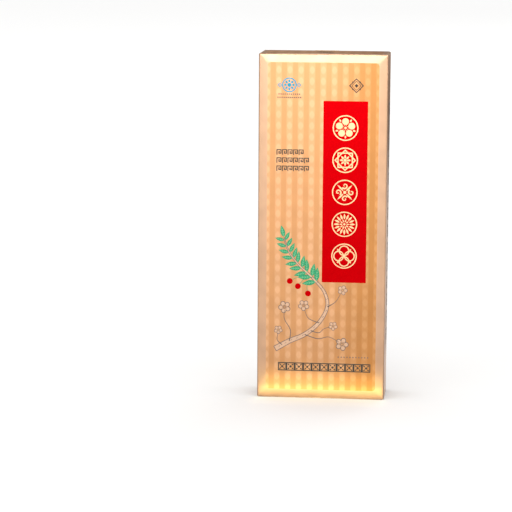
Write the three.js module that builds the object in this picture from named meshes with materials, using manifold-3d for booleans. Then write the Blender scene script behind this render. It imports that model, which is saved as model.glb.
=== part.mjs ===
// A tall gold carton for sliced ginseng, with ten small packs inside it.
//
// Millimetres, +Z up. The carton stands on its base with its front towards -Y and its right side
// towards +X. The origin is the middle of the base.
//
// The carton is a straight tuck-end carton. Its lid is creased to the top edge of the front panel,
// a tuck flap on the lid slips down inside the back panel, and two dust flaps, creased to the side
// panels, lie under the lid. The bottom is closed in the same way and stays shut under a round seal.
// A crease is a rounded edge on one panel, with the next panel starting just clear of it, so that
// every flap can turn about the middle of its crease.
import * as THREE from "three";
import { mergeVertices } from "three/addons/utils/BufferGeometryUtils.js";
import Module from "manifold-3d";

const wasm = await Module();
wasm.setup();

// The carton, measured outside
const WIDTH = 126;
const DEPTH = 50;
const HEIGHT = 340;
const BOARD = 0.6;
const HALF_BOARD = BOARD / 2;

// Creases and running gaps
const CREASE_GAP = 0.15;
const FLAP_START = HALF_BOARD + CREASE_GAP; // from the line of a crease to the edge of its flap
const LAYER_GAP = 0.15; // between the lid and the dust flaps under it
const CUT_EDGE_DROP = 0.1; // the back panel's cut edge lies this far inside the end of the carton

// The lid, and the bottom panel, which is the same
const LID_SIDE_INSET = 1.5;
const TUCK_GAP = 0.4; // between the tuck flap and the back panel
const TUCK_LENGTH = 16;
const TUCK_SIDE_INSET = 3;
const TUCK_CORNER = 9;
const TUCK_LEAN = THREE.MathUtils.degToRad(14); // the top flap leans in, to swing clear of the back

// The dust flaps. Their front edge slants so that they can rise while the lid opens over them.
const DUST_LENGTH = 38;
const DUST_SLANT = 0.5;
const DUST_FRONT_MARGIN = 2;
const DUST_BACK_MARGIN = 2.2;
const DUST_SHOULDER = 2;
const DUST_CORNER = 4;

// The flap glued inside the left panel, which closes the sleeve
const GLUE_FLAP_WIDTH = 16;
const GLUE_FLAP_END_INSET = 8;

// Paper seals
const PAPER = 0.1;
const SEAL_RADIUS = 12;
const SEAL_POCKET_GAP = 0.3;
const PACK_SEAL_RADIUS = 11.5;

// The ten packs: five rows in two layers, each pack on its long narrow side
const PACK_WIDTH = 60;
const PACK_THICKNESS = 23.5;
const PACK_HEIGHT = 106;
const PACK_BOARD = 0.5;
const PACK_SLIT = 0.3;
const PACK_TUCK_LENGTH = 12;
const PACK_TUCK_INSET = 2;
const PACK_ROWS = 5;
const PACK_ROW_GAP = 0.2;
const PACK_LAYER_GAP = 0.3;

// The slices of dried root in each pack, laid like roof tiles
const SLICE_LENGTH = 30;
const SLICE_WIDTH = 22;
const SLICE_THICKNESS = 2.4;
const SLICE_SIDES = 6;
const SLICE_COLUMNS = 3;
const SLICE_ROWS = 4;
const SLICE_COLUMN_PITCH = 17.5;
const SLICE_ROW_PITCH = 23;
const SLICE_TILT = THREE.MathUtils.degToRad(5);
const SLICE_PILE_CLEARANCE = 2.6; // from the middle of the pile to its top, at the box's back wall

const CURVE_STEPS = 4;
const SEAL_STEPS = 16;
const PACK_SEAL_STEPS = 6;

const GOLD = { color: 0xd8a86c, roughness: 0.34, metalness: 0.75 };
const ORANGE_GOLD = { color: 0xd9781c, roughness: 0.34, metalness: 0.7 };
const GREY_BOARD = { color: 0xb9b2a4, roughness: 0.9, metalness: 0 };
const SEAL_PAPER = { color: 0xcaa25e, roughness: 0.5, metalness: 0.2 };
const RED_GINSENG = { color: 0x6e2412, roughness: 0.4, metalness: 0 };

const X = new THREE.Vector3(1, 0, 0);
const Y = new THREE.Vector3(0, 1, 0);
const Z = new THREE.Vector3(0, 0, 1);
const DOWN = Z.clone().negate();

const carton = new THREE.Group();

function named(name, geometry, finish) {
  const mesh = new THREE.Mesh(geometry, new THREE.MeshStandardMaterial(finish));
  mesh.name = name;
  return mesh;
}

// Turns an object so that its own X and Z axes point along two given directions.
function turn(object, xDirection, zDirection) {
  const yDirection = new THREE.Vector3().crossVectors(zDirection, xDirection);
  const basis = new THREE.Matrix4().makeBasis(xDirection, yDirection, zDirection);
  object.quaternion.setFromRotationMatrix(basis);
  return object;
}

function solidOf(geometry) {
  const bare = geometry.clone();
  bare.deleteAttribute("normal");
  bare.deleteAttribute("uv");
  const merged = mergeVertices(bare, 1e-4);
  return new wasm.Manifold(
    new wasm.Mesh({
      numProp: 3,
      vertProperties: new Float32Array(merged.attributes.position.array),
      triVerts: new Uint32Array(merged.index.array),
    }),
  );
}

function geometryOf(solid) {
  const mesh = solid.getMesh();
  const geometry = new THREE.BufferGeometry();
  geometry.setAttribute("position", new THREE.BufferAttribute(mesh.vertProperties, 3));
  geometry.setIndex(new THREE.BufferAttribute(mesh.triVerts, 1));
  geometry.computeVertexNormals();
  return geometry;
}

function boxBetween(low, high) {
  const size = high.map((value, i) => value - low[i]);
  const middle = high.map((value, i) => (value + low[i]) / 2);
  return new THREE.BoxGeometry(...size).translate(...middle);
}

// A strip of board along +X from 0 to length, its thickness across Y and its width across Z.
// A rounded end is a half circle about the end point: the edge that a crease turns on.
function strip(length, width, roundStart, roundEnd) {
  const outline = new THREE.Shape();
  outline.moveTo(0, -HALF_BOARD);
  outline.lineTo(length, -HALF_BOARD);
  if (roundEnd) outline.absarc(length, 0, HALF_BOARD, -Math.PI / 2, Math.PI / 2, false);
  else outline.lineTo(length, HALF_BOARD);
  outline.lineTo(0, HALF_BOARD);
  if (roundStart) outline.absarc(0, 0, HALF_BOARD, Math.PI / 2, 1.5 * Math.PI, false);
  const options = { depth: width, bevelEnabled: false, curveSegments: CURVE_STEPS };
  return new THREE.ExtrudeGeometry(outline, options).translate(0, 0, -width / 2);
}

// A flat flap cut to an outline in XY, its thickness centred on Z.
function flap(outline, thickness = BOARD) {
  const options = { depth: thickness, bevelEnabled: false, curveSegments: CURVE_STEPS };
  return new THREE.ExtrudeGeometry(outline, options).translate(0, 0, -thickness / 2);
}

// Half a disc of paper on the XY plane, on the -Y side of its centre, up to +Z.
function halfDisc(radius, thickness, steps = SEAL_STEPS) {
  const outline = new THREE.Shape();
  outline.absarc(0, 0, radius, Math.PI, 2 * Math.PI, false);
  outline.closePath();
  const options = { depth: thickness, bevelEnabled: false, curveSegments: steps };
  return new THREE.ExtrudeGeometry(outline, options);
}

// Places that several pieces share
const CREASE_FRONT_Y = -DEPTH / 2 + HALF_BOARD;
const LID_MIDDLE = HALF_BOARD; // below the end of the carton, as are the next two
const TUCK_CREASE_Y = DEPTH / 2 - BOARD - TUCK_GAP - HALF_BOARD;
const DUST_MIDDLE = BOARD + LAYER_GAP + HALF_BOARD;
const DUST_CREASE_X = WIDTH / 2 - HALF_BOARD;
const INNER_DEPTH = DEPTH - 2 * BOARD;

// The sleeve: four panels and the glued flap
function sleeve() {
  const group = new THREE.Group();

  const front = named("front_panel", strip(HEIGHT - BOARD, WIDTH, true, true), GOLD);
  turn(front, Z, X).position.set(0, CREASE_FRONT_Y, HALF_BOARD);

  const backLength = HEIGHT - 2 * CUT_EDGE_DROP;
  const back = named("back_panel", strip(backLength, WIDTH, false, false), GOLD);
  turn(back, Z, X).position.set(0, DEPTH / 2 - HALF_BOARD, CUT_EDGE_DROP);

  const sides = { left_panel: -1, right_panel: 1 };
  for (const [name, side] of Object.entries(sides)) {
    const length = HEIGHT - 2 * DUST_MIDDLE;
    const panel = named(name, strip(length, INNER_DEPTH, true, true), GOLD);
    turn(panel, Z, Y).position.set(side * DUST_CREASE_X, 0, DUST_MIDDLE);
    group.add(panel);
  }

  const half = HEIGHT / 2 - GLUE_FLAP_END_INSET;
  const outline = new THREE.Shape();
  outline.moveTo(0, -half);
  outline.lineTo(GLUE_FLAP_WIDTH, -half + GLUE_FLAP_END_INSET);
  outline.lineTo(GLUE_FLAP_WIDTH, half - GLUE_FLAP_END_INSET);
  outline.lineTo(0, half);
  const glued = named("glue_flap", flap(outline), GREY_BOARD);
  const gluedX = -WIDTH / 2 + BOARD + HALF_BOARD;
  turn(glued, Y.clone().negate(), X).position.set(gluedX, DEPTH / 2 - BOARD, HEIGHT / 2);

  group.add(front, back, glued);
  return group;
}

// One end closure, with Z = 0 at the end of the carton and the inside below it
function tuckOutline() {
  const halfWidth = WIDTH / 2 - LID_SIDE_INSET - TUCK_SIDE_INSET;
  const cornerX = halfWidth - TUCK_CORNER;
  const cornerY = -TUCK_LENGTH + TUCK_CORNER;
  const outline = new THREE.Shape();
  outline.moveTo(-halfWidth, -FLAP_START);
  outline.lineTo(-halfWidth, cornerY);
  outline.absarc(-cornerX, cornerY, TUCK_CORNER, Math.PI, 1.5 * Math.PI, false);
  outline.absarc(cornerX, cornerY, TUCK_CORNER, 1.5 * Math.PI, 2 * Math.PI, false);
  outline.lineTo(halfWidth, -FLAP_START);
  return outline;
}

// X runs from the crease towards the middle of the carton, Y from the front crease to the back.
function dustOutline() {
  const start = FLAP_START;
  const frontAt = (x) => DUST_SLANT * x + DUST_FRONT_MARGIN;
  const back = TUCK_CREASE_Y - CREASE_FRONT_Y - DUST_BACK_MARGIN;
  const shoulder = back - DUST_SHOULDER;
  const outline = new THREE.Shape();
  outline.moveTo(start, frontAt(start));
  outline.lineTo(DUST_LENGTH, frontAt(DUST_LENGTH));
  outline.lineTo(DUST_LENGTH, shoulder - DUST_CORNER);
  outline.absarc(DUST_LENGTH - DUST_CORNER, shoulder - DUST_CORNER, DUST_CORNER, 0, Math.PI / 2, false);
  outline.lineTo(start + DUST_SHOULDER, shoulder);
  outline.lineTo(start, back);
  return outline;
}

function closure(names, tuckLean, sealPocket) {
  const group = new THREE.Group();

  const lidStart = CREASE_FRONT_Y + FLAP_START;
  const lidStrip = strip(TUCK_CREASE_Y - lidStart, WIDTH - 2 * LID_SIDE_INSET, false, true);
  const onto = turn(new THREE.Object3D(), Y, X);
  onto.position.set(0, lidStart, -LID_MIDDLE);
  onto.updateMatrix();
  let lidSolid = solidOf(lidStrip.applyMatrix4(onto.matrix));
  if (sealPocket) {
    const pocket = halfDisc(SEAL_RADIUS + SEAL_POCKET_GAP, 2 * PAPER);
    pocket.translate(0, DEPTH / 2 + PAPER, -PAPER);
    lidSolid = lidSolid.subtract(solidOf(pocket));
  }
  group.add(named(names.lid, geometryOf(lidSolid), GOLD));

  const tuck = named(names.tuck, flap(tuckOutline()), GOLD);
  turn(tuck, X, Y.clone().negate());
  const tuckHinge = new THREE.Group();
  tuckHinge.position.set(0, TUCK_CREASE_Y, -LID_MIDDLE);
  tuckHinge.rotation.x = -tuckLean;
  tuckHinge.add(tuck);
  group.add(tuckHinge);

  const right = named(names.dustRight, flap(dustOutline()), GOLD);
  right.scale.x = -1;
  right.position.set(DUST_CREASE_X, CREASE_FRONT_Y, -DUST_MIDDLE);
  const left = named(names.dustLeft, flap(dustOutline()), GOLD);
  left.position.set(-DUST_CREASE_X, CREASE_FRONT_Y, -DUST_MIDDLE);
  group.add(right, left);
  return group;
}

// The paper seals at the back
function topSealHalves() {
  const onLid = named("seal_half_on_lid", halfDisc(SEAL_RADIUS, PAPER), SEAL_PAPER);
  onLid.position.set(0, TUCK_CREASE_Y + HALF_BOARD, HEIGHT);
  const onBack = named("seal_half_on_back", halfDisc(SEAL_RADIUS, PAPER), SEAL_PAPER);
  turn(onBack, X.clone().negate(), Y).position.set(0, DEPTH / 2, HEIGHT - CUT_EDGE_DROP);
  return [onLid, onBack];
}

// A whole seal folded over an edge along X: half lies back from the edge under Z = 0 to -paper,
// and half stands up from it. The edge is at Y = 0.
function foldedSeal(radius, steps) {
  const flat = halfDisc(radius, PAPER, steps);
  const upright = halfDisc(radius, PAPER, steps).rotateX(-Math.PI / 2).translate(0, -PAPER, 0);
  return geometryOf(solidOf(flat).add(solidOf(upright)));
}

function bottomSeal() {
  const seal = named("seal_under_base", foldedSeal(SEAL_RADIUS, SEAL_STEPS), SEAL_PAPER);
  seal.position.set(0, DEPTH / 2 + PAPER, 0);
  return seal;
}

// One small pack, standing, centred on its origin, its front towards -Y
function packBox() {
  const w = PACK_WIDTH / 2;
  const t = PACK_THICKNESS / 2;
  const h = PACK_HEIGHT / 2;
  const b = PACK_BOARD;
  const slit = PACK_SLIT;
  let box = solidOf(boxBetween([-w, -t, -h], [w, t, h]));
  box = box.subtract(solidOf(boxBetween([-w + b, -t + b, -h + b], [w - b, t - b, h - b])));
  // The lid is creased at the back and cut free along its other three edges.
  const cuts = [
    [[-w + b, -t + b, h - 2 * b], [-w + b + slit, t - b, h + b]],
    [[w - b - slit, -t + b, h - 2 * b], [w - b, t - b, h + b]],
    [[-w + b, -t + b, h - 2 * b], [w - b, -t + b + slit, h + b]],
  ];
  for (const [low, high] of cuts) box = box.subtract(solidOf(boxBetween(low, high)));
  const tuckFront = -t + b + slit;
  const tuck = boxBetween(
    [-w + PACK_TUCK_INSET, tuckFront, h - PACK_TUCK_LENGTH],
    [w - PACK_TUCK_INSET, tuckFront + b, h - b / 2],
  );
  return geometryOf(box.add(solidOf(tuck)));
}

// Oval slices in columns, each tilted onto the one below it and joined to it where they touch
function packSlices() {
  const layerY = PACK_THICKNESS / 2 - PACK_BOARD - SLICE_PILE_CLEARANCE;
  let pile = null;
  for (let column = 0; column < SLICE_COLUMNS; column++) {
    for (let row = 0; row < SLICE_ROWS; row++) {
      const slice = new THREE.CylinderGeometry(0.5, 0.5, SLICE_THICKNESS, SLICE_SIDES);
      slice.scale(SLICE_WIDTH, 1, SLICE_LENGTH);
      slice.rotateX(SLICE_TILT);
      slice.translate(
        (column - (SLICE_COLUMNS - 1) / 2) * SLICE_COLUMN_PITCH,
        layerY,
        (row - (SLICE_ROWS - 1) / 2) * SLICE_ROW_PITCH,
      );
      const solid = solidOf(slice);
      pile = pile ? pile.add(solid) : solid;
    }
  }
  return geometryOf(pile);
}

function packs() {
  const group = new THREE.Group();
  const box = packBox();
  const slices = packSlices();
  const seal = foldedSeal(PACK_SEAL_RADIUS, PACK_SEAL_STEPS);
  const floor = DUST_MIDDLE + HALF_BOARD + PACK_ROW_GAP;
  const frontLayerY = -DEPTH / 2 + BOARD + PACK_LAYER_GAP + PACK_THICKNESS / 2;
  const layers = [
    { y: frontLayerY, facing: 1 },
    { y: frontLayerY + PACK_THICKNESS + PACK_LAYER_GAP, facing: -1 },
  ];
  let number = 0;
  for (let row = 0; row < PACK_ROWS; row++) {
    for (const layer of layers) {
      number += 1;
      const label = "pack_" + String(number).padStart(2, "0");
      const pack = new THREE.Group();
      pack.add(named(label + "_box", box, ORANGE_GOLD));
      pack.add(named(label + "_slices", slices, RED_GINSENG));
      const paper = named(label + "_seal", seal, SEAL_PAPER);
      turn(paper, X, DOWN);
      paper.position.set(0, -PACK_THICKNESS / 2 - PAPER, PACK_HEIGHT / 2 + PAPER);
      pack.add(paper);
      // The pack lies on its narrow side with its lid to the right, its front to the nearer wall.
      turn(pack, Z.clone().multiplyScalar(-layer.facing), X);
      pack.position.set(0, layer.y, floor + PACK_WIDTH / 2 + row * (PACK_WIDTH + PACK_ROW_GAP));
      group.add(pack);
    }
  }
  return group;
}

const topNames = {
  lid: "lid_panel",
  tuck: "lid_tuck_flap",
  dustLeft: "dust_flap_left",
  dustRight: "dust_flap_right",
};
const top = closure(topNames, TUCK_LEAN, false);
top.position.z = HEIGHT;

// Turned upside down, the bottom closure has its left and right changed over.
const bottomNames = {
  lid: "bottom_panel",
  tuck: "bottom_tuck_flap",
  dustLeft: "bottom_dust_flap_right",
  dustRight: "bottom_dust_flap_left",
};
const bottom = closure(bottomNames, 0, true);
bottom.rotation.y = Math.PI;

carton.add(sleeve(), top, bottom, ...topSealHalves(), bottomSeal(), packs());

export default carton;
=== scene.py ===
# %% [markdown]
# # A tall gold carton for sliced ginseng
#
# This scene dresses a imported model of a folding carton. The model gives the size and the place of every
# panel, so each step below makes one panel, print or paper seal finer, and puts it where the model's own
# piece is. The carton stands on a pale studio floor and is seen as in its photograph.

# %% Load the model and note its size
import math

import bmesh
import bpy
from mathutils import Matrix, Vector


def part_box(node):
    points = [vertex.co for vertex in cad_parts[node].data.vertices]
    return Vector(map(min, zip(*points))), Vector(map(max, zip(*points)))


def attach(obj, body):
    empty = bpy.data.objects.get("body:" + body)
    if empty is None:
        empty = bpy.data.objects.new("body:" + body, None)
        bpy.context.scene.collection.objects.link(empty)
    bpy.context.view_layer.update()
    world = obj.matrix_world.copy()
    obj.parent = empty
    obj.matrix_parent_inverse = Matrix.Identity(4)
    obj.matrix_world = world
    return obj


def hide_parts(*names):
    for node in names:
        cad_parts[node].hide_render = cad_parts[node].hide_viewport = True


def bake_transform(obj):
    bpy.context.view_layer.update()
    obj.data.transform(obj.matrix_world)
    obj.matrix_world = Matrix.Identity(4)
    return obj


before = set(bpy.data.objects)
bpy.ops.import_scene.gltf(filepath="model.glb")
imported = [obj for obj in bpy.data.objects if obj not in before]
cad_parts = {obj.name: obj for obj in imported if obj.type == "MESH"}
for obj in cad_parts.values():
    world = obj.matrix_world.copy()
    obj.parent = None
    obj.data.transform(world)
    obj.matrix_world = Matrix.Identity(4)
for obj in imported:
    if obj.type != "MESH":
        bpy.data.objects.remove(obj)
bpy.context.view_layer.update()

MM = 0.001
WIDTH = 126.0
DEPTH = 50.0
HEIGHT = 340.0
BOARD = 0.6

# %% [markdown]
# ## The camera
#
# The photograph was taken a little from the right and a little from above, with a long lens, so the
# carton's edges are nearly parallel. The camera's place comes from the four corners of the carton's front.
# A camera is best built from its own three axes: where its right side, its top and its back point.

# %% Place the camera
AZIMUTH = math.radians(5.89)
ELEVATION = math.radians(9.134)
ROLL = math.radians(0.316)
AIM = Vector((-64.46, -DEPTH / 2, 141.1)) * MM
DISTANCE = 2.1132
FOCAL_PIXELS = 2153.1
PHOTO_PIXELS = 512
SENSOR = 36.0
FARTHEST = 50

back = Vector((
    math.sin(AZIMUTH) * math.cos(ELEVATION),
    -math.cos(AZIMUTH) * math.cos(ELEVATION),
    math.sin(ELEVATION),
))
level_right = Vector((0, 0, 1)).cross(back).normalized()
level_up = back.cross(level_right)
right = math.cos(ROLL) * level_right + math.sin(ROLL) * level_up
axes = Matrix((right, back.cross(right), back)).transposed().to_4x4()

camera_data = bpy.data.cameras.new("camera")
camera_data.sensor_width = SENSOR
camera_data.lens = FOCAL_PIXELS / PHOTO_PIXELS * SENSOR
camera_data.clip_end = FARTHEST
camera = bpy.data.objects.new("camera", camera_data)
camera.matrix_world = Matrix.Translation(AIM + back * DISTANCE) @ axes
bpy.context.collection.objects.link(camera)
bpy.context.scene.camera = camera
print("lens", round(camera_data.lens, 1), "mm")

# %% [markdown]
# ## Small helpers for node trees
#
# Every material and every repeated shape below is a node tree. A few short functions keep them readable:
# one adds a node and fills its inputs, one feeds a socket with a link or with a plain value, and the others
# do sums, smooth steps and blends, or set up a group.

# %% Node helpers
def rgb(red, green, blue):
    """A colour given as on a screen, 0 to 255, made linear for the renderer."""
    def linear(value):
        value /= 255
        return value / 12.92 if value <= 0.04045 else ((value + 0.055) / 1.055) ** 2.4
    return (linear(red), linear(green), linear(blue), 1.0)


def feed(tree, socket, value):
    if isinstance(value, bpy.types.NodeSocket):
        tree.links.new(value, socket)
    else:
        socket.default_value = value


def node(tree, kind, inputs=None, **settings):
    """Adds a node. Its inputs are given by name or by number, each with a value or another node's socket."""
    made = tree.nodes.new(kind)
    for name, value in settings.items():
        setattr(made, name, value)
    for socket, value in (inputs or {}).items():
        feed(tree, made.inputs[socket], value)
    return made


def sums(tree, operation, *values):
    return node(tree, "ShaderNodeMath", dict(enumerate(values)), operation=operation).outputs[0]


def ramp(tree, value, low, high, to_low=0.0, to_high=1.0):
    """A smooth step from to_low to to_high as the value goes from low to high."""
    inputs = {"Value": value, "From Min": low, "From Max": high, "To Min": to_low, "To Max": to_high}
    return node(tree, "ShaderNodeMapRange", inputs, interpolation_type="SMOOTHSTEP").outputs[0]


def blend_colours(tree, factor, first, second, how="MIX"):
    inputs = {0: factor, 6: first, 7: second}
    return node(tree, "ShaderNodeMix", inputs, data_type="RGBA", blend_type=how).outputs[2]


def new_group(name, kind, inputs, outputs):
    """A node group with named inputs, given as (name, socket type, value), and outputs, as (name, type)."""
    tree = bpy.data.node_groups.new(name, kind)
    for label, socket_type, value in inputs:
        socket = tree.interface.new_socket(label, in_out="INPUT", socket_type=socket_type)
        if value is not None:
            socket.default_value = value
    for label, socket_type in outputs:
        tree.interface.new_socket(label, in_out="OUTPUT", socket_type=socket_type)
    return tree, tree.nodes.new("NodeGroupInput").outputs, tree.nodes.new("NodeGroupOutput").inputs


def use_group(tree, group, **values):
    """Adds a group and returns its outputs."""
    inputs = {name.replace("_", " "): value for name, value in values.items()}
    return node(tree, "ShaderNodeGroup", inputs, node_tree=group).outputs


FLOAT = "NodeSocketFloat"
VECTOR = "NodeSocketVector"

# %% [markdown]
# ## Effects that several finishes share
#
# Three things show on the surfaces of a printed carton. The board has a grain, which shows as a faint orange
# peel in the shine. Its folds wear, so the gold film is a little paler there. And the film's large faces are
# embossed with columns of small beads. Each is a shader node group, built once.

# %% The grain of the board
FIBRE_RELIEF = 0.03
RIPPLE_RELIEF = 0.35

grain, given, result = new_group(
    "board_grain", "ShaderNodeTree",
    [("Position", VECTOR, None), ("Fibre size", FLOAT, 0.5), ("Ripple size", FLOAT, 14.0)],
    [("Height", FLOAT), ("Mottle", FLOAT)],
)
millimetres = node(grain, "ShaderNodeVectorMath", {0: given["Position"], "Scale": 1 / MM}, operation="SCALE")


def grain_noise(size, detail):
    """Noise with grains of a size in millimetres."""
    inputs = {"Vector": millimetres.outputs[0], "Scale": sums(grain, "DIVIDE", 1.0, size), "Detail": detail}
    return node(grain, "ShaderNodeTexNoise", inputs).outputs[0]


fine = sums(grain, "MULTIPLY", grain_noise(given["Fibre size"], 2), FIBRE_RELIEF)
ripple = grain_noise(given["Ripple size"], 1)
feed(grain, result["Height"], sums(grain, "ADD", fine, sums(grain, "MULTIPLY", ripple, RIPPLE_RELIEF)))
feed(grain, result["Mottle"], ripple)

# %% The wear along the folds
SCUFF_SCALE = 220

wear, given, result = new_group(
    "fold_wear", "ShaderNodeTree",
    [("Position", VECTOR, None), ("Reach", FLOAT, 1.6)],
    [("Mask", FLOAT)],
)
axis_values = node(wear, "ShaderNodeSeparateXYZ", {0: given["Position"]}).outputs


def inside(axis, middle, half):
    """How far inside the carton's faces on one axis a point lies, in millimetres."""
    scaled = sums(wear, "MULTIPLY", axis_values[axis], 1 / MM)
    off_middle = sums(wear, "ABSOLUTE", sums(wear, "SUBTRACT", scaled, middle))
    return sums(wear, "SUBTRACT", half, off_middle)


in_x = inside(0, 0.0, WIDTH / 2)
in_y = inside(1, 0.0, DEPTH / 2)
in_z = inside(2, HEIGHT / 2, HEIGHT / 2)
lesser = sums(wear, "MINIMUM", in_x, in_y)
greater = sums(wear, "MAXIMUM", in_x, in_y)
to_fold = sums(wear, "MAXIMUM", lesser, sums(wear, "MINIMUM", greater, in_z))
scuff = node(wear, "ShaderNodeTexNoise", {"Vector": given["Position"], "Scale": SCUFF_SCALE, "Detail": 4})
reach = sums(wear, "MULTIPLY", given["Reach"], scuff.outputs[0])
feed(wear, result["Mask"], ramp(wear, to_fold, reach, 0.0))

# %% The columns of embossed beads
beads, given, result = new_group(
    "bead_columns", "ShaderNodeTree",
    [("Position", VECTOR, None), ("Pitch", FLOAT, 10.8),
     ("Bead width", FLOAT, 5.6), ("Bead height", FLOAT, 9.0)],
    [("Bead", FLOAT), ("Column", FLOAT)],
)
axis_values = node(beads, "ShaderNodeSeparateXYZ", {0: given["Position"]}).outputs


def from_centre(coordinate):
    """The distance from the nearest bead's centre along one axis, in millimetres."""
    scaled = sums(beads, "DIVIDE", sums(beads, "MULTIPLY", coordinate, 1 / MM), given["Pitch"])
    rest = sums(beads, "SUBTRACT", scaled, sums(beads, "ROUND", scaled))
    return sums(beads, "MULTIPLY", rest, given["Pitch"])


def outwards(distance, size, power):
    """How far out in a bead a point lies: 1 at its edge, with a power that shapes the bead's ends."""
    share = sums(beads, "DIVIDE", distance, sums(beads, "MULTIPLY", size, 0.5))
    return sums(beads, "POWER", sums(beads, "ABSOLUTE", share), power)


across = from_centre(axis_values[0])
along = from_centre(axis_values[2])
sideways = outwards(across, given["Bead width"], 2.0)
oval = sums(beads, "ADD", sideways, outwards(along, given["Bead height"], 1.6))
feed(beads, result["Bead"], ramp(beads, oval, 1.15, 0.35))
feed(beads, result["Column"], ramp(beads, sums(beads, "ABSOLUTE", across), 3.6, 2.2))
print("shader groups", [group.name for group in (grain, wear, beads)])

# %% [markdown]
# ## The finishes
#
# The board is laminated with a gold film. On the borders and sides the film is bare and satin. On the big
# faces it carries a warm peach tint between the bead columns, with painted shade that darkens the tint
# towards one side. Inside, the board is plain pale grey.
# Inks are thin and glossy, and let some of the film's shine through.

# %% Helpers for the finishes
BUMP_DEPTH = 0.1 * MM
FOIL = rgb(187, 149, 119)
FOIL_WORN = rgb(236, 214, 186)
TINT = rgb(185, 134, 89)
BEAD = rgb(205, 159, 120)
# Painted shade: this colour darkens the tinted faces towards +X, fully from 50 mm out.
PAINTED_SHADE = (0.86, 0.76, 0.55, 1.0)
PAINTED_SHADE_REACH = 50 * MM


def new_material(name):
    material = bpy.data.materials.new(name)
    material.use_nodes = True
    tree = material.node_tree
    place = node(tree, "ShaderNodeTexCoord").outputs["Object"]
    return material, tree, tree.nodes["Principled BSDF"].inputs, place


def mottled(tree, board, colour, low, high):
    """The colour, a little darker and lighter by turns with the ripple of the board."""
    return blend_colours(tree, 1.0, colour, ramp(tree, board["Mottle"], 0.3, 0.7, low, high), "MULTIPLY")


def set_shine(tree, shader, board, metallic, roughness, spread, height, strength):
    """Sets how metallic a finish is, a roughness that waves with the board, and its relief."""
    feed(tree, shader["Metallic"], metallic)
    feed(tree, shader["Roughness"], ramp(tree, board["Mottle"], 0.2, 0.8, roughness, roughness + spread))
    bump = node(tree, "ShaderNodeBump", {"Strength": strength, "Distance": BUMP_DEPTH, "Height": height})
    feed(tree, shader["Normal"], bump.outputs[0])


def gold_film(name, colour, roughness, beaded):
    material, tree, shader, place = new_material(name)
    board = use_group(tree, grain, Position=place)
    worn = use_group(tree, wear, Position=place)
    skin = colour
    height = board["Height"]
    if beaded:
        pattern = use_group(tree, beads, Position=place)
        column = blend_colours(tree, sums(tree, "MULTIPLY", pattern["Column"], 0.35), TINT, BEAD)
        skin = blend_colours(tree, sums(tree, "MULTIPLY", pattern["Bead"], 0.6), column, BEAD)
        # Painted shade: the tint is darkened towards +X, from the middle of the face to 50 mm out.
        sideways = node(tree, "ShaderNodeSeparateXYZ", {0: place}).outputs["X"]
        painted_shade_skin = blend_colours(tree, 1.0, skin, PAINTED_SHADE, "MULTIPLY")
        skin = blend_colours(tree, ramp(tree, sideways, 0.0, PAINTED_SHADE_REACH), skin, painted_shade_skin)
        height = sums(tree, "ADD", height, sums(tree, "MULTIPLY", pattern["Bead"], 0.5))
    skin = mottled(tree, board, skin, 0.96, 1.03)
    feed(tree, shader["Base Color"], blend_colours(tree, worn["Mask"], skin, FOIL_WORN))
    set_shine(tree, shader, board, 0.9, roughness, 0.05, height, 0.25)
    return material


def plain_finish(name, colour, roughness, metallic=0.0, fibre=0.5, bump=0.3):
    material, tree, shader, place = new_material(name)
    board = use_group(tree, grain, Position=place, Fibre_size=fibre)
    feed(tree, shader["Base Color"], mottled(tree, board, colour, 0.97, 1.02))
    set_shine(tree, shader, board, metallic, roughness, 0.06, board["Height"], bump)
    return material


# %% Make the finishes
satin_gold = gold_film("satin_gold", FOIL, 0.32, beaded=False)
beaded_gold = gold_film("beaded_gold", TINT, 0.36, beaded=True)
grey_board = plain_finish("grey_board", rgb(205, 200, 190), 0.85, fibre=0.35, bump=0.12)
cut_edge = plain_finish("cut_edge", rgb(196, 184, 165), 0.9)
red_ink = plain_finish("red_ink", rgb(168, 1, 6), 0.34, metallic=1.0)
pale_gold_ink = plain_finish("pale_gold_ink", rgb(222, 184, 138), 0.36, metallic=0.8)
green_ink = plain_finish("green_ink", rgb(34, 138, 92), 0.4, metallic=0.5)
pale_green_ink = plain_finish("pale_green_ink", rgb(126, 186, 140), 0.4, metallic=0.5)
grey_wash = plain_finish("grey_wash", rgb(196, 160, 132), 0.4, metallic=0.8)
grey_ink = plain_finish("grey_ink", rgb(96, 86, 80), 0.5)
teal_ink = plain_finish("teal_ink", rgb(8, 140, 172), 0.4, metallic=0.4)
dark_ink = plain_finish("dark_ink", rgb(46, 38, 28), 0.5)
orange_gold = plain_finish("orange_gold", rgb(236, 130, 34), 0.34, metallic=0.85)
seal_foil = plain_finish("seal_foil", rgb(226, 186, 120), 0.38, metallic=0.6)
bronze_ink = plain_finish("bronze_ink", rgb(170, 106, 50), 0.4, metallic=0.6)
dried_root = plain_finish("dried_root", rgb(124, 52, 28), 0.4, fibre=1.5)
print("finishes", len(bpy.data.materials))

# %% [markdown]
# ## The sleeve
#
# Four panels, folded from one sheet and glued, make the tube of the carton. The sheet can't be pressed quite
# flat at its edges, so a border a finger's width wide turns away from the face a little: it catches the light
# from above along the top, and the light from the floor along the bottom, and meets itself in a mitre at
# each corner. Each large face is drawn ring by ring from its flat field outwards, and Solidify gives the skin
# the board's thickness, with its own finishes inside and on the cut edge.

# %% Place a drawing on a face of the carton
def laid(origin, along, outward):
    """The matrix that lays a drawing on a face, in millimetres: its Y runs along, its Z points outward."""
    along, outward = Vector(along).normalized(), Vector(outward).normalized()
    turned = Matrix((along.cross(outward), along, outward)).transposed().to_4x4()
    return Matrix.Translation(Vector(origin)) @ turned


def placed(origin, along, outward):
    """The same, from millimetres to the scene's metres."""
    return Matrix.Scale(MM, 4) @ laid(origin, along, outward)


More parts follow.
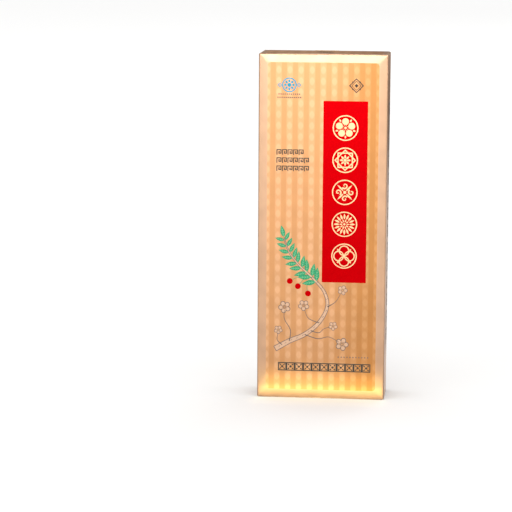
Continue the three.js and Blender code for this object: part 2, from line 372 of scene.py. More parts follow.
UP = (0, 0, 1)
FRONT = placed((0, -DEPTH / 2, 0), UP, (0, -1, 0))
BACK = placed((0, DEPTH / 2, 0), UP, (0, 1, 0))
RIGHT = placed((WIDTH / 2, 0, 0), UP, (1, 0, 0))
LEFT = placed((-WIDTH / 2, 0, 0), UP, (-1, 0, 0))
TOP = placed((0, 0, HEIGHT), (0, 1, 0), UP)
print("the front lies at y =", round(FRONT.translation.y, 3), "m")

# %% Make meshes and outlines
def new_object(name, mesh, *materials):
    made = bpy.data.objects.new(name, mesh)
    bpy.context.collection.objects.link(made)
    for material in materials:
        made.data.materials.append(material)
    return made


def plain_mesh(name, bm):
    mesh = bpy.data.meshes.new(name)
    bm.to_mesh(mesh)
    bm.free()
    return mesh


def arc(centre, radius, first, last, steps):
    """Points on an arc, its angles in degrees."""
    angles = [math.radians(first + (last - first) * step / steps) for step in range(steps + 1)]
    return [(centre[0] + radius * math.cos(a), centre[1] + radius * math.sin(a)) for a in angles]


def rounded_box(half_x, half_y, radius, steps=3):
    """The outline of a box with round corners, about the origin."""
    outline = []
    for x, y, first in ((1, 1, 0), (-1, 1, 90), (-1, -1, 180), (1, -1, 270)):
        outline += arc((x * (half_x - radius), y * (half_y - radius)), radius, first, first + 90, steps)
    return outline


# %% Make a face with a turned border
# Each ring of a framed face: how far out in the border it lies, and its share of the drop.
FRAME_PROFILE = ((0.0, 0.0), (0.06, 0.015), (0.14, 0.08), (0.6, 0.55), (0.93, 0.92))
CORNER_ROUND = 0.4
ROUND_STEPS = 6


def framed_face(bm, place, half, low, high, border, drop):
    """A face whose border turns away from its flat field. Returns its four outer corners in order."""
    middle = (low + high) / 2
    half_height = (high - low) / 2
    rings = []
    for outward, share in FRAME_PROFILE:
        inset = border * (1 - outward)
        outline = rounded_box(half - inset, half_height - inset, CORNER_ROUND * inset, ROUND_STEPS)
        points = [place @ Vector((u, v + middle, -drop * share)) for u, v in outline]
        rings.append([bm.verts.new(point) for point in points])
    signs = ((1, 1), (-1, 1), (-1, -1), (1, -1))
    rim = [bm.verts.new(place @ Vector((u * half, middle + v * half_height, -drop))) for u, v in signs]
    rings.append([corner for corner in rim for _ in range(ROUND_STEPS + 1)])
    bm.faces.new(rings[0]).material_index = 1
    count = len(rings[0])
    for inner, outer in zip(rings, rings[1:]):
        for i in range(count):
            j = (i + 1) % count
            corners = dict.fromkeys((inner[i], outer[i], outer[j], inner[j]))
            bm.faces.new(tuple(corners)).smooth = True
    upper_right, upper_left, lower_left, lower_right = rim
    for ends in ((upper_right, upper_left), (lower_left, lower_right)):
        bm.edges.get(ends).smooth = False
    return lower_left, lower_right, upper_right, upper_left


# %% Draw the skin of the sleeve
BORDER = 8.0
EDGE_DROP = 0.5
FOLD_RADIUS = 0.9
FOLD_STEPS = 5
SIDE_STEPS = 8
SIDE_BULGE = 0.25
RIM_FACE = HEIGHT - 0.65
RIM_SIDE = HEIGHT - 1.0
RIM_HALF = WIDTH / 2 - FOLD_RADIUS


def sleeve_skin():
    bm = bmesh.new()
    front, rear = (
        framed_face(bm, face, RIM_HALF, HEIGHT - RIM_FACE, RIM_FACE, BORDER, EDGE_DROP)
        for face in (FRONT, BACK)
    )
    fold_y = DEPTH / 2 - EDGE_DROP - FOLD_RADIUS
    fold_x = RIM_HALF - SIDE_BULGE

    def column(x, y, top):
        return bm.verts.new(Vector((x, y, HEIGHT - top)) * MM), bm.verts.new(Vector((x, y, top)) * MM)

    for side in (1, -1):
        fold = []
        for step in range(1, FOLD_STEPS + 1):
            angle = math.pi / 2 * step / FOLD_STEPS
            x = fold_x + FOLD_RADIUS * math.sin(angle)
            y = -fold_y - FOLD_RADIUS * math.cos(angle)
            fold.append((x, y, RIM_FACE + (RIM_SIDE - RIM_FACE) * step / FOLD_STEPS))
        flat = []
        for step in range(1, SIDE_STEPS):
            across = step / SIDE_STEPS
            bulge = SIDE_BULGE * math.sin(math.pi * across)
            flat.append((fold_x + FOLD_RADIUS + bulge, fold_y * (2 * across - 1), RIM_SIDE))
        second_fold = [(x, -y, top) for x, y, top in reversed(fold)]
        front_edge = (front[1], front[2]) if side == 1 else (front[0], front[3])
        rear_edge = (rear[0], rear[3]) if side == 1 else (rear[1], rear[2])
        middle = [column(side * x, y, top) for x, y, top in fold + flat + second_fold]
        strip = [front_edge] + middle + [rear_edge]
        for (low, high), (next_low, next_high) in zip(strip, strip[1:]):
            corners = (low, next_low, next_high, high)
            bm.faces.new(corners if side == 1 else corners[::-1]).smooth = True
    return plain_mesh("sleeve", bm)


# %% Give the sleeve its thickness
def finish_modifiers(obj):
    """Applies an object's modifiers, so that its mesh is plain."""
    depsgraph = bpy.context.evaluated_depsgraph_get()
    mesh = bpy.data.meshes.new_from_object(obj.evaluated_get(depsgraph))
    obj.modifiers.clear()
    obj.data = mesh


def give_thickness(obj, thickness, inside_slot=0, rim_slot=0):
    thick = obj.modifiers.new("board", "SOLIDIFY")
    thick.thickness = thickness * MM
    thick.offset = -1
    thick.use_even_offset = True
    thick.material_offset = inside_slot
    thick.material_offset_rim = rim_slot
    finish_modifiers(obj)


FRAMED_FINISHES = (satin_gold, beaded_gold, grey_board, grey_board, cut_edge)

sleeve = new_object("sleeve", sleeve_skin(), *FRAMED_FINISHES)
give_thickness(sleeve, BOARD, 2, 4)
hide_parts("front_panel", "back_panel", "left_panel", "right_panel")
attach(sleeve, "carton")
print("sleeve", len(sleeve.data.polygons), "faces")

# %% [markdown]
# ## The lid and the flaps
#
# The lid is one sheet with the front, so it turns on a crease along its front edge. Its own face is framed as
# the large faces are. The tuck flap, the dust flaps and the glued flap are flat board cut to an outline, gold
# outside and grey inside. An outline is easiest to draw flat, in millimetres from its crease, and then laid
# in place with the same kind of matrix that places a print on a face.

# %% Cut a flat piece of board
def add_plate(bm, points, low, high, slots=(0, 0, 0)):
    """A flat closed solid on an outline: slots are the finishes of its top, its bottom and its edge."""
    area = sum(a[0] * b[1] - b[0] * a[1] for a, b in zip(points, points[1:] + points[:1]))
    ordered = points if area > 0 else points[::-1]
    top = [bm.verts.new((x, y, high)) for x, y in ordered]
    bottom = [bm.verts.new((x, y, low)) for x, y in ordered]
    bm.faces.new(top).material_index = slots[0]
    bm.faces.new(bottom[::-1]).material_index = slots[1]
    for i in range(len(ordered)):
        j = (i + 1) % len(ordered)
        bm.faces.new((bottom[i], bottom[j], top[j], top[i])).material_index = slots[2]


def cut_board(name, node_name, body, points, place, thickness=BOARD):
    bm = bmesh.new()
    add_plate(bm, points, -thickness / 2, thickness / 2, slots=(0, 1, 2))
    bm.transform(place)
    made = new_object(name, plain_mesh(name, bm), satin_gold, grey_board, cut_edge)
    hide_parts(node_name)
    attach(made, body)


# %% Make the lid
LID_HALF = WIDTH / 2 - 1.5
LID_FRONT = -DEPTH / 2 + 0.75
LID_BACK = 23.5
LID_BORDER = 5.0
LID_EDGE_DROP = 0.1

bm = bmesh.new()
framed_face(bm, TOP, LID_HALF, LID_FRONT, LID_BACK, LID_BORDER, LID_EDGE_DROP)
lid = new_object("lid", plain_mesh("lid", bm), *FRAMED_FINISHES)
give_thickness(lid, BOARD, 2, 4)
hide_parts("lid_panel")
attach(lid, "lid")
print("lid", len(lid.data.polygons), "faces")

# %% Make the flaps and the bottom
ARC_STEPS = 8
FLAP_START = 0.45
TUCK_CREASE = Vector((0, 23.7, HEIGHT - BOARD / 2))
TUCK_LEAN = math.radians(14)
TUCK_LENGTH = 16.0
TUCK_HALF = 58.5
TUCK_CORNER = 9.0
DUST_LENGTH = 38.0
DUST_FRONT = 22.5
DUST_SLANT_END = 3.7
DUST_BACK = 19.5
DUST_CORNER = 4.0
DUST_SHOULDER = 2.0
DUST_CREASE_X = WIDTH / 2 - BOARD / 2
DUST_CREASE_DEPTH = 1.05
BASE_BOARD = 0.5
BASE_MIDDLE = 0.35
GLUE_WIDTH = 16
GLUE_SLANT = 8
GLUE_INSET = 0.9


def tuck_outline():
    middle = TUCK_HALF - TUCK_CORNER
    far = TUCK_LENGTH - TUCK_CORNER
    one_corner = arc((middle, far), TUCK_CORNER, 0, 90, ARC_STEPS)
    other_corner = arc((-middle, far), TUCK_CORNER, 90, 180, ARC_STEPS)
    return [(TUCK_HALF, FLAP_START)] + one_corner + other_corner + [(-TUCK_HALF, FLAP_START)]


def dust_outline(side):
    """A dust flap, with the front of the carton towards -X for side 1 and towards +X for side -1."""
    slanted = [(-DUST_FRONT, FLAP_START), (-DUST_SLANT_END, DUST_LENGTH)]
    rounded = arc((DUST_BACK - DUST_CORNER, DUST_LENGTH - DUST_CORNER), DUST_CORNER, 90, 0, ARC_STEPS)
    shoulder = [(DUST_BACK, FLAP_START + DUST_SHOULDER), (DUST_BACK + DUST_SHOULDER, FLAP_START)]
    return [(side * x, y) for x, y in slanted + rounded + shoulder]


leaning = (0, -math.sin(TUCK_LEAN), -math.cos(TUCK_LEAN))
facing_back = (0, math.cos(TUCK_LEAN), -math.sin(TUCK_LEAN))
cut_board("tuck_flap", "lid_tuck_flap", "tuck", tuck_outline(), placed(TUCK_CREASE, leaning, facing_back))
base_tuck = placed((0, TUCK_CREASE.y, BOARD / 2), UP, (0, 1, 0))
cut_board("base_tuck_flap", "bottom_tuck_flap", "carton", tuck_outline(), base_tuck)

for word, side in (("left", -1), ("right", 1)):
    inward = (-side, 0, 0)
    high = placed((side * DUST_CREASE_X, 0, HEIGHT - DUST_CREASE_DEPTH), inward, UP)
    cut_board("dust_flap_" + word + "_board", "dust_flap_" + word, "dust_" + word, dust_outline(side), high)
    low = placed((side * DUST_CREASE_X, 0, DUST_CREASE_DEPTH), inward, (0, 0, -1))
    cut_board("base_dust_flap_" + word, "bottom_dust_flap_" + word, "carton", dust_outline(-side), low)

base_outline = [(-LID_HALF, LID_FRONT), (LID_HALF, LID_FRONT), (LID_HALF, LID_BACK), (-LID_HALF, LID_BACK)]
base_place = placed((0, 0, BASE_MIDDLE), (0, 1, 0), (0, 0, -1))
cut_board("base_board", "bottom_panel", "carton", base_outline, base_place, thickness=BASE_BOARD)

lower_half = [(0, GLUE_SLANT), (GLUE_WIDTH, 2 * GLUE_SLANT)]
glue_outline = lower_half + [(x, HEIGHT - y) for x, y in reversed(lower_half)]
glue_place = placed((-WIDTH / 2 + GLUE_INSET, DEPTH / 2 - BOARD, 0), UP, (-1, 0, 0))
cut_board("glue_flap_board", "glue_flap", "carton", glue_outline, glue_place)

# %% [markdown]
# ## The creases
#
# Where a flap turns, the outer ply of the board runs on unbroken from one panel to the next. Each moving
# crease is a thin strip on a smooth curve through three points, and is left unattached between the two
# bodies that it joins. The creases at the bottom never move.

# %% Lay a strip of ply round each crease
PLY = 0.1
CREASE_STEPS = 6
TUCK_BEND = 24.0
DUST_BEND = WIDTH / 2 - 0.2
DUST_RUN = 43.5
DUST_RUN_MIDDLE = -0.5


def crease(name, start, corner, end, run, *bodies):
    """A strip on the curve from start over corner to end, all in millimetres, swept along run."""
    start, corner, end, run = Vector(start), Vector(corner), Vector(end), Vector(run)
    bm = bmesh.new()
    rows = []
    for step in range(CREASE_STEPS + 1):
        t = step / CREASE_STEPS
        point = (1 - t) ** 2 * start + 2 * t * (1 - t) * corner + t ** 2 * end
        rows.append((bm.verts.new((point - run / 2) * MM), bm.verts.new((point + run / 2) * MM)))
    for (a, b), (c, d) in zip(rows, rows[1:]):
        bm.faces.new((a, b, d, c)).smooth = True
    bm.normal_update()
    strip = list(bm.faces)
    if strip[0].normal.dot(corner - (start + end) / 2) < 0:
        bmesh.ops.reverse_faces(bm, faces=strip)
    made = new_object(name, plain_mesh(name, bm), satin_gold)
    give_thickness(made, PLY)
    if len(bodies) == 2:
        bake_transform(made)
    else:
        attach(made, bodies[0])


rim_y = -DEPTH / 2 + EDGE_DROP
lid_level = HEIGHT - LID_EDGE_DROP
lid_run = (2 * LID_HALF, 0, 0)
tuck_run = (2 * TUCK_HALF, 0, 0)
tuck_top = TUCK_CREASE + FLAP_START * Vector(leaning) + BOARD / 2 * Vector(facing_back)
crease("lid_crease_ply", (0, rim_y, RIM_FACE), (0, rim_y, HEIGHT - PLY / 2), (0, LID_FRONT, lid_level),
       lid_run, "carton", "lid")
crease("base_crease_ply", (0, rim_y, HEIGHT - RIM_FACE), (0, rim_y, 0.0), (0, LID_FRONT, LID_EDGE_DROP),
       lid_run, "carton")
crease("tuck_crease_ply", (0, LID_BACK, lid_level), (0, TUCK_BEND, lid_level), tuck_top,
       tuck_run, "lid", "tuck")
crease("base_tuck_crease_ply", (0, LID_BACK, LID_EDGE_DROP), (0, TUCK_BEND, LID_EDGE_DROP),
       (0, TUCK_BEND, BOARD / 2 + FLAP_START), tuck_run, "carton")
for word, side in (("left", -1), ("right", 1)):
    for end_name, level, rim, bodies in (
        ("dust", HEIGHT - DUST_CREASE_DEPTH + BOARD / 2, RIM_SIDE, ("carton", "dust_" + word)),
        ("base_dust", DUST_CREASE_DEPTH - BOARD / 2, HEIGHT - RIM_SIDE, ("carton",)),
    ):
        start, corner, end = (
            (side * x, DUST_RUN_MIDDLE, z)
            for x, z in ((DUST_BEND, rim), (DUST_BEND, level), (DUST_CREASE_X - FLAP_START, level))
        )
        crease(end_name + "_crease_ply_" + word, start, corner, end, (0, DUST_RUN, 0), *bodies)

# %% [markdown]
# ## Drawing the prints
#
# Each print is a very thin raised layer of ink on its face. Two shapes are enough to draw everything: a
# filled patch, and a stroke of even or changing width along a path. A motif that repeats is drawn once, and
# one of three Geometry Nodes trees sets its copies out: on a ring, in a row, or in pairs along a bough.

# %% Patches and strokes
INK = 0.05
SKIM = 0.01


def add_stroke(bm, path, width, low, high, closed=False):
    """A ribbon along a path: width is one number, or one for each point."""
    count = len(path)
    widths = width if isinstance(width, list) else [width] * count
    points = [Vector(p) for p in path]
    sides = []
    for i, point in enumerate(points):
        before = points[(i - 1) % count] if closed or i else point
        after = points[(i + 1) % count] if closed or i < count - 1 else point
        into, out = point - before, after - point
        into = (into if into.length else out).normalized()
        out = (out if out.length else into).normalized()
        across = Vector((-into.y - out.y, into.x + out.x)).normalized()
        reach = widths[i] / 2 / max(across.dot(Vector((-into.y, into.x))), 0.4)
        sides.append((point + across * reach, point - across * reach))
    corners = [[bm.verts.new((p.x, p.y, z)) for p in pair for z in (low, high)] for pair in sides]
    pairs = list(zip(corners, corners[1:])) + ([(corners[-1], corners[0])] if closed else [])
    for (a, b, c, d), (e, f, g, h) in pairs:
        for quad in ((b, d, h, f), (a, e, g, c), (a, b, f, e), (c, g, h, d)):
            bm.faces.new(quad)
    if not closed:
        a, b, c, d = corners[0]
        bm.faces.new((a, c, d, b))
        a, b, c, d = corners[-1]
        bm.faces.new((a, b, d, c))


def drawn(name, shapes, low=SKIM, high=INK + SKIM):
    """A mesh of shapes, each ("patch", points), ("line", points, width) or ("loop", points, width)."""
    bm = bmesh.new()
    for kind, points, *width in shapes:
        if kind == "patch":
            add_plate(bm, points, low, high)
        else:
            add_stroke(bm, points, width[0], low, high, closed=kind == "loop")
    bmesh.ops.recalc_face_normals(bm, faces=bm.faces)
    return plain_mesh(name, bm)


def circle(radius, centre=(0, 0), steps=24):
    return arc(centre, radius, 0, 360 * (steps - 1) / steps, steps - 1)


def lens(start, end, width, steps=8):
    """A leaf or petal outline between two points."""
    start, end = Vector(start), Vector(end)
    across = Vector((start.y - end.y, end.x - start.x)).normalized() * width / 2
    shares = [step / steps for step in range(steps + 1)]
    there = [start.lerp(end, t) + across * math.sin(math.pi * t ** 0.8) for t in shares]
    return there + [start.lerp(end, t) - across * math.sin(math.pi * t ** 0.8) for t in shares[-2:0:-1]]


def through(points, steps=8):
    """A smooth path through points, by the Catmull-Rom rule."""
    padded = [points[0], *points, points[-1]]
    path = []
    for a, b, c, d in zip(padded, padded[1:], padded[2:], padded[3:]):
        a, b, c, d = (Vector(p) for p in (a, b, c, d))
        for step in range(steps):
            t = step / steps
            bend = (2 * a - 5 * b + 4 * c - d) * t ** 2 + (3 * b - a - 3 * c + d) * t ** 3
            path.append((2 * b + (c - a) * t + bend) / 2)
    return path + [Vector(points[-1])]


def box_outline(left, bottom, right, top):
    return [(left, bottom), (right, bottom), (right, top), (left, top)]


# %% Set out the copies of a motif
OBJECT = "NodeSocketObject"
COUNT = "NodeSocketInt"
MOTIF = ("Motif", OBJECT, None)
MATERIAL = ("Material", "NodeSocketMaterial", None)
GEOMETRY = [("Geometry", "NodeSocketGeometry")]


def ending(tree, given, result, instances):
    """Every tree ends in the same way: real geometry, with its finish."""
    real = node(tree, "GeometryNodeRealizeInstances", {0: instances}).outputs[0]
    coloured = node(tree, "GeometryNodeSetMaterial", {"Geometry": real, "Material": given["Material"]})
    feed(tree, result["Geometry"], coloured.outputs[0])


def copies_on(tree, points, motif, **placing):
    """Copies of a motif on points. Placing may give their Rotation and their Scale."""
    info = node(tree, "GeometryNodeObjectInfo", {"Object": motif}).outputs["Geometry"]
    inputs = {"Points": points, "Instance": info, **placing}
    return node(tree, "GeometryNodeInstanceOnPoints", inputs).outputs[0]


def direction_of(tree, **parts):
    return node(tree, "ShaderNodeCombineXYZ", parts).outputs[0]


def wobble(tree, given):
    """A random number for each copy, between minus the spread and the spread."""
    lowest = sums(tree, "MULTIPLY", given["Spread"], -1.0)
    inputs = {2: lowest, 3: given["Spread"], "Seed": given["Seed"]}
    return node(tree, "FunctionNodeRandomValue", inputs, data_type="FLOAT").outputs[1]


# %% Copies on a ring
ring, given, result = new_group(
    "motifs_on_ring", "GeometryNodeTree",
    [MOTIF, ("Count", COUNT, 8), ("Radius", FLOAT, 0.0), ("Turn", FLOAT, 0.0), MATERIAL],
    GEOMETRY,
)
middle = node(ring, "GeometryNodeMeshLine", {"Count": given["Count"], "Offset": (0, 0, 0)}, mode="OFFSET")
share = sums(ring, "DIVIDE", node(ring, "GeometryNodeInputIndex").outputs[0], given["Count"])
angle = sums(ring, "MULTIPLY_ADD", share, 2 * math.pi, given["Turn"])
turned = copies_on(ring, middle.outputs[0], given["Motif"], Rotation=direction_of(ring, Z=angle))
outward = direction_of(ring, X=given["Radius"])
pushed = node(ring, "GeometryNodeTranslateInstances",
              {"Instances": turned, "Translation": outward, "Local Space": True})
ending(ring, given, result, pushed.outputs[0])

# %% Copies in a row
row, given, result = new_group(
    "motifs_in_row", "GeometryNodeTree",
    [MOTIF, ("Count", COUNT, 5), ("Start", VECTOR, None), ("Step", VECTOR, None), MATERIAL],
    GEOMETRY,
)
along_row = {"Count": given["Count"], "Start Location": given["Start"], "Offset": given["Step"]}
line = node(row, "GeometryNodeMeshLine", along_row, mode="OFFSET")
ending(row, given, result, copies_on(row, line.outputs[0], given["Motif"]))

# %% Leaves in pairs along a bough
paired, given, result = new_group(
    "leaves_on_bough", "GeometryNodeTree",
    [MOTIF, ("Bough", OBJECT, None), ("From", FLOAT, 0.0), ("Until", FLOAT, 1.0), ("Count", COUNT, 6),
     ("Angle", FLOAT, 0.9), ("Spread", FLOAT, 0.15), ("First size", FLOAT, 1.0), ("Last size", FLOAT, 0.6),
     ("Seed", COUNT, 4), MATERIAL],
    GEOMETRY,
)
path = node(paired, "GeometryNodeObjectInfo", {"Object": given["Bough"]}).outputs["Geometry"]
curve = node(paired, "GeometryNodeMeshToCurve", {0: path}).outputs[0]
stretch = {"Curve": curve, 2: given["From"], 3: given["Until"]}
trimmed = node(paired, "GeometryNodeTrimCurve", stretch, mode="FACTOR")
spaced = node(paired, "GeometryNodeResampleCurve", {"Curve": trimmed.outputs[0], "Count": given["Count"]})
ahead = node(paired, "GeometryNodeInputTangent").outputs[0]
tangent = node(paired, "ShaderNodeSeparateXYZ", {0: ahead}).outputs
heading = sums(paired, "ARCTAN2", tangent["Y"], tangent["X"])
along_it = node(paired, "GeometryNodeSplineParameter").outputs["Factor"]
sizes = {"Value": along_it, "To Min": given["First size"], "To Max": given["Last size"]}
size = node(paired, "ShaderNodeMapRange", sizes).outputs[0]
both = node(paired, "GeometryNodeJoinGeometry")
for side in (1.0, -1.0):
    random_turn = wobble(paired, given)
    leant = sums(paired, "MULTIPLY_ADD", given["Angle"], side, heading)
    turned = direction_of(paired, Z=sums(paired, "ADD", leant, random_turn))
    leaves = copies_on(paired, spaced.outputs[0], given["Motif"], Rotation=turned, Scale=size)
    paired.links.new(leaves, both.inputs[0])
ending(paired, given, result, both.outputs[0])
print("trees", [tree.name for tree in (ring, row, paired)])

# %% Run a tree, and lay a drawing on a face
def set_out(name, tree, **values):
    """Runs a tree with these inputs and returns the plain mesh that it makes. A motif is given as a mesh."""
    holder = new_object(name, bpy.data.meshes.new(name))
    growing = holder.modifiers.new("set_out", "NODES")
    growing.node_group = tree
    helpers = []
    for item in tree.interface.items_tree:
        if item.in_out != "INPUT" or item.name.replace(" ", "_") not in values:
            continue
        value = values[item.name.replace(" ", "_")]
        if isinstance(value, bpy.types.Mesh):
            value = bpy.data.objects.new(name + "_" + item.name, value)
            helpers.append(value)
        growing[item.identifier] = value
    depsgraph = bpy.context.evaluated_depsgraph_get()
    mesh = bpy.data.meshes.new_from_object(holder.evaluated_get(depsgraph))
    for used in [holder] + helpers:
        bpy.data.objects.remove(used)
    return mesh


def on_ring(count, *shapes, turn=0.0, high=INK + SKIM):
    """Copies of a small drawing round a centre."""
    return set_out("ring", ring, Motif=drawn("unit", shapes, high=high), Count=count, Turn=turn)


def in_row(count, motif, start, step, level=0.0):
    """Copies of a finished drawing in a row."""
    return set_out("row", row, Motif=motif, Count=count, Start=(*start, level), Step=(*step, 0))


def joined(name, *meshes, material=None, place=None):
    """One mesh from several, moved to a place, with one finish."""
    bm = bmesh.new()
    for mesh in meshes:
        bm.from_mesh(mesh)
    if place is not None:
        bm.transform(place)
    mesh = plain_mesh(name, bm)
    mesh.materials.clear()
    if material is not None:
        mesh.materials.append(material)
    for face in mesh.polygons:
        face.material_index = 0
    return mesh


def moved(mesh, x, y, z=0.0, scale=1.0, turn=0.0):
    """A copy of a drawing, turned, scaled and moved on its face."""
    steps = Matrix.Translation((x, y, z)) @ Matrix.Rotation(turn, 4, "Z")
    return joined(mesh.name, mesh, place=steps @ Matrix.Diagonal((scale, scale, 1, 1)))


LARGE_FACES = {"front": FRONT, "back": BACK}
NARROW_FACES = {"right": RIGHT, "left": LEFT}


def print_on(name, mesh, material, faces=LARGE_FACES, body="carton"):
    """Lays a finished drawing on one or more faces."""
    for face_name, place in faces.items():
        full_name = face_name + "_" + name
        piece = new_object(full_name, joined(full_name, mesh, material=material, place=place))
        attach(piece, body)


# %% [markdown]
# ## The red label
#
# A tall red panel carries five round medallions in pale gold, all old ornament that belongs to nobody: a plum
# blossom, a star of two squares, four cloud heads, a chrysanthemum and linked coins.

# %% Print the label and its medallions
LABEL = (0.4, 116.5, 43.6, 294.5)
MEDALLION_X = 22.0
MEDALLION_HEIGHTS = (268.5, 237.1, 205.7, 174.3, 142.9)
RIM_RADIUS = 11.9
ON_LABEL = INK + SKIM
OVERLAP = 0.02
QUARTER = math.pi / 2

print_on("label", drawn("label", [("patch", box_outline(*LABEL))]), red_ink)

rim = drawn("rim", [("loop", circle(RIM_RADIUS, steps=64), 1.1)])
eye = drawn("eye", [("patch", circle(1.5))])


def plum_blossom():
    petals = on_ring(5, ("patch", circle(3.3, (6.3, 0))), turn=QUARTER)
    stamens = on_ring(10, ("line", [(2.2, 0), (3.4, 0)], 0.45))
    sepals = on_ring(5, ("patch", lens((7.4, 0), (10.4, 0), 1.8)), turn=-QUARTER)
    return [petals, stamens, sepals, drawn("heart", [("patch", circle(1.3))])]


def star_of_squares():
    square = drawn("square", [("loop", circle(9.8, steps=4), 1.2)])
    spokes = on_ring(8, ("patch", lens((1.6, 0), (5.6, 0), 1.9)))
    return [square, moved(square, 0, 0, OVERLAP, turn=QUARTER / 2), spokes, eye]


def cloud_heads():
    curl = []
    for step in range(20):
        angle = 0.35 * step
        reach = 3.0 - 0.126 * step
        curl.append((6.4 + reach * math.cos(angle + 2.2), reach * math.sin(angle + 2.2)))
    heads = on_ring(4, ("line", curl, [1.5 - 0.045 * step for step in range(20)]))
    tails = on_ring(4, ("patch", lens((1.8, 0), (10.4, 0), 1.7)), turn=QUARTER / 2)
    return [heads, tails, eye]


def chrysanthemum():
    outer_petals = on_ring(16, ("patch", lens((5.0, 0), (10.6, 0), 1.9)))
    inner_petals = on_ring(10, ("patch", lens((1.9, 0), (5.2, 0), 1.3)))
    return [outer_petals, inner_petals, drawn("heart", [("patch", circle(1.1))])]


def linked_coins():
    coins = on_ring(2, ("loop", circle(4.7, (5.3, 0), 32), 1.1))
    dots_between = on_ring(4, ("patch", circle(0.9, (8.6, 0), 12)), turn=QUARTER / 2)
    return [coins, moved(coins, 0, 0, OVERLAP, turn=QUARTER), dots_between]


medallions = [plum_blossom, star_of_squares, cloud_heads, chrysanthemum, linked_coins]
faces_drawn = 0
for design, height in zip(medallions, MEDALLION_HEIGHTS):
    whole = moved(joined(design.__name__, *design(), rim), MEDALLION_X, height, ON_LABEL)
    faces_drawn += len(whole.polygons)
    print_on(design.__name__, whole, pale_gold_ink)
print("medallions", faces_drawn, "faces")

# %% [markdown]
# ## The small ornaments
#
# A teal rosette and a dark lozenge stand at the top. Three short bands of key fret stand beside the label,
# and a row of lattice tiles closes the foot of the face. Key fret is one line that turns in on itself at
# right angles, so one unit of it is a single stroke.

# %% Print the rosette and the lozenge
TEAL_PLACE = (-32.9, 309.5)
LOZENGE_PLACE = (32.1, 309.5)
SPECK_ROWS = {300.6: 11, 297.4: 12}
SPECK_PITCH = 2.0

teal_rosette = on_ring(8, ("patch", lens((2.5, 0), (5.6, 0), 2.3)))
side_lozenges = on_ring(2, ("loop", circle(2.0, (9.2, 0), 4), 0.6), ("patch", circle(0.7, (9.2, 0), 4)))
teal_heart = drawn("teal_heart", [("patch", circle(1.9)), ("loop", circle(6.6, steps=40), 1.1)])
teal_ornament = joined("teal_ornament", teal_rosette, moved(side_lozenges, 0, 0, OVERLAP), teal_heart)
print_on("teal_rosette", moved(teal_ornament, *TEAL_PLACE), teal_ink)

speck = drawn("speck", [("patch", circle(0.8, steps=4))])
specks = [
    in_row(count, speck, (TEAL_PLACE[0] - (count - 1) * SPECK_PITCH / 2, height), (SPECK_PITCH, 0))
    for height, count in SPECK_ROWS.items()
]
print_on("specks", joined("specks", *specks), grey_ink)

lozenge_lines = [("loop", circle(radius, steps=4), width) for radius, width in ((6.6, 0.9), (4.4, 0.5))]
lozenge_heart = [("patch", circle(1.9, steps=4))]
knots = moved(on_ring(4, ("patch", circle(1.0, (4.9, 0), 4)), turn=QUARTER / 2), 0, 0, OVERLAP)
lozenge = joined("lozenge", drawn("lozenge_lines", lozenge_lines + lozenge_heart), knots)
print_on("lozenge", moved(lozenge, *LOZENGE_PLACE), dark_ink)
print("lozenge", len(lozenge.polygons), "faces")

# %% Print the fret bands and the lattice tiles
FRET_X = -44.5
FRET_ROWS = {241.5: 5, 233.5: 6, 225.5: 6}
FRET = 4.9
FRET_GAP = 0.5
FRET_LINE = 0.95
FRET_STEPS = ((0, 0), (0, 1), (0.8, 1), (0.8, 0.3), (0.4, 0.3), (0.4, 0.62), (0.58, 0.62))


def fret(size, width):
    """One unit of key fret, in a square of this size with its corner at the origin."""
    return drawn("fret", [("line", [(x * size, y * size) for x, y in FRET_STEPS], width)])


bands = [
    in_row(count, fret(FRET, FRET_LINE), (FRET_X, height), (FRET + FRET_GAP, 0))
    for height, count in FRET_ROWS.items()
]
print_on("fret_bands", joined("bands", *bands), dark_ink)

TILE_HALF = 3.7
TILE_PITCH = 8.3
TILE_START = (-37.9, 31.4)
DOTS_START = (17.5, 42.0)
DOTS_PITCH = 2.9
tile_edge = ("loop", box_outline(-TILE_HALF, -TILE_HALF, TILE_HALF, TILE_HALF), 1.0)
tile_spokes = on_ring(4, ("line", [(1.8, 0), (3.8, 0)], 1.0), turn=QUARTER / 2)
tile = joined("tile", drawn("tile", [tile_edge, ("patch", circle(1.4, steps=4))]), tile_spokes)
print_on("lattice_tiles", in_row(11, tile, TILE_START, (TILE_PITCH, 0)), dark_ink)
print_on("dots", in_row(11, speck, DOTS_START, (DOTS_PITCH, 0)), grey_ink)

# %% [markdown]
# ## The flowering bough
#
# Below the label's left edge grows a bough in thin grey line, with open blossoms on its lower half, paired
# green leaves on its upper half and three red berries. The leaves follow the bough's own path.

# %% Print the bough
BOUGH = [
    (-45, 49), (-31, 57), (-16, 64), (-2, 76), (6, 92),
    (3, 107), (-9, 121), (-22, 133), (-32, 146), (-37, 160),
]
TWIGS = [
    [(-31, 57), (-30, 68), (-36, 79), (-36, 88)],
    [(-16, 64), (-3, 60), (8, 62), (18, 57)],
    [(6, 92), (14, 97), (19, 105)],
    [(-38, 53), (-43, 58), (-42, 65)],
    [(-10, 68), (-2, 66), (3, 70), (9, 72)],
    [(-2, 76), (-12, 80), (-16, 88)],
]
BERRY_STEMS = [
    [(-9, 121), (-17, 119), (-23, 112)],
    [(-12, 120), (-14, 112), (-13, 105)],
    [(-9, 121), (-22, 121), (-31, 117)],
]
BERRY = 2.9
BLOSSOMS = ((-36, 91, 6.0), (21, 55, 6.4), (21, 109, 4.8), (-17, 93, 5.4), (-42, 68, 4.2), (12, 73, 4.4))
BLOSSOM_TURN = 0.3
BOUGH_WIDTH = 5.4
BOUGH_LOSS = 4.6

bough_path = through(BOUGH)
shares = [i / (len(bough_path) - 1) for i in range(len(bough_path))]
bough_widths = [BOUGH_WIDTH - BOUGH_LOSS * share ** 0.8 for share in shares]


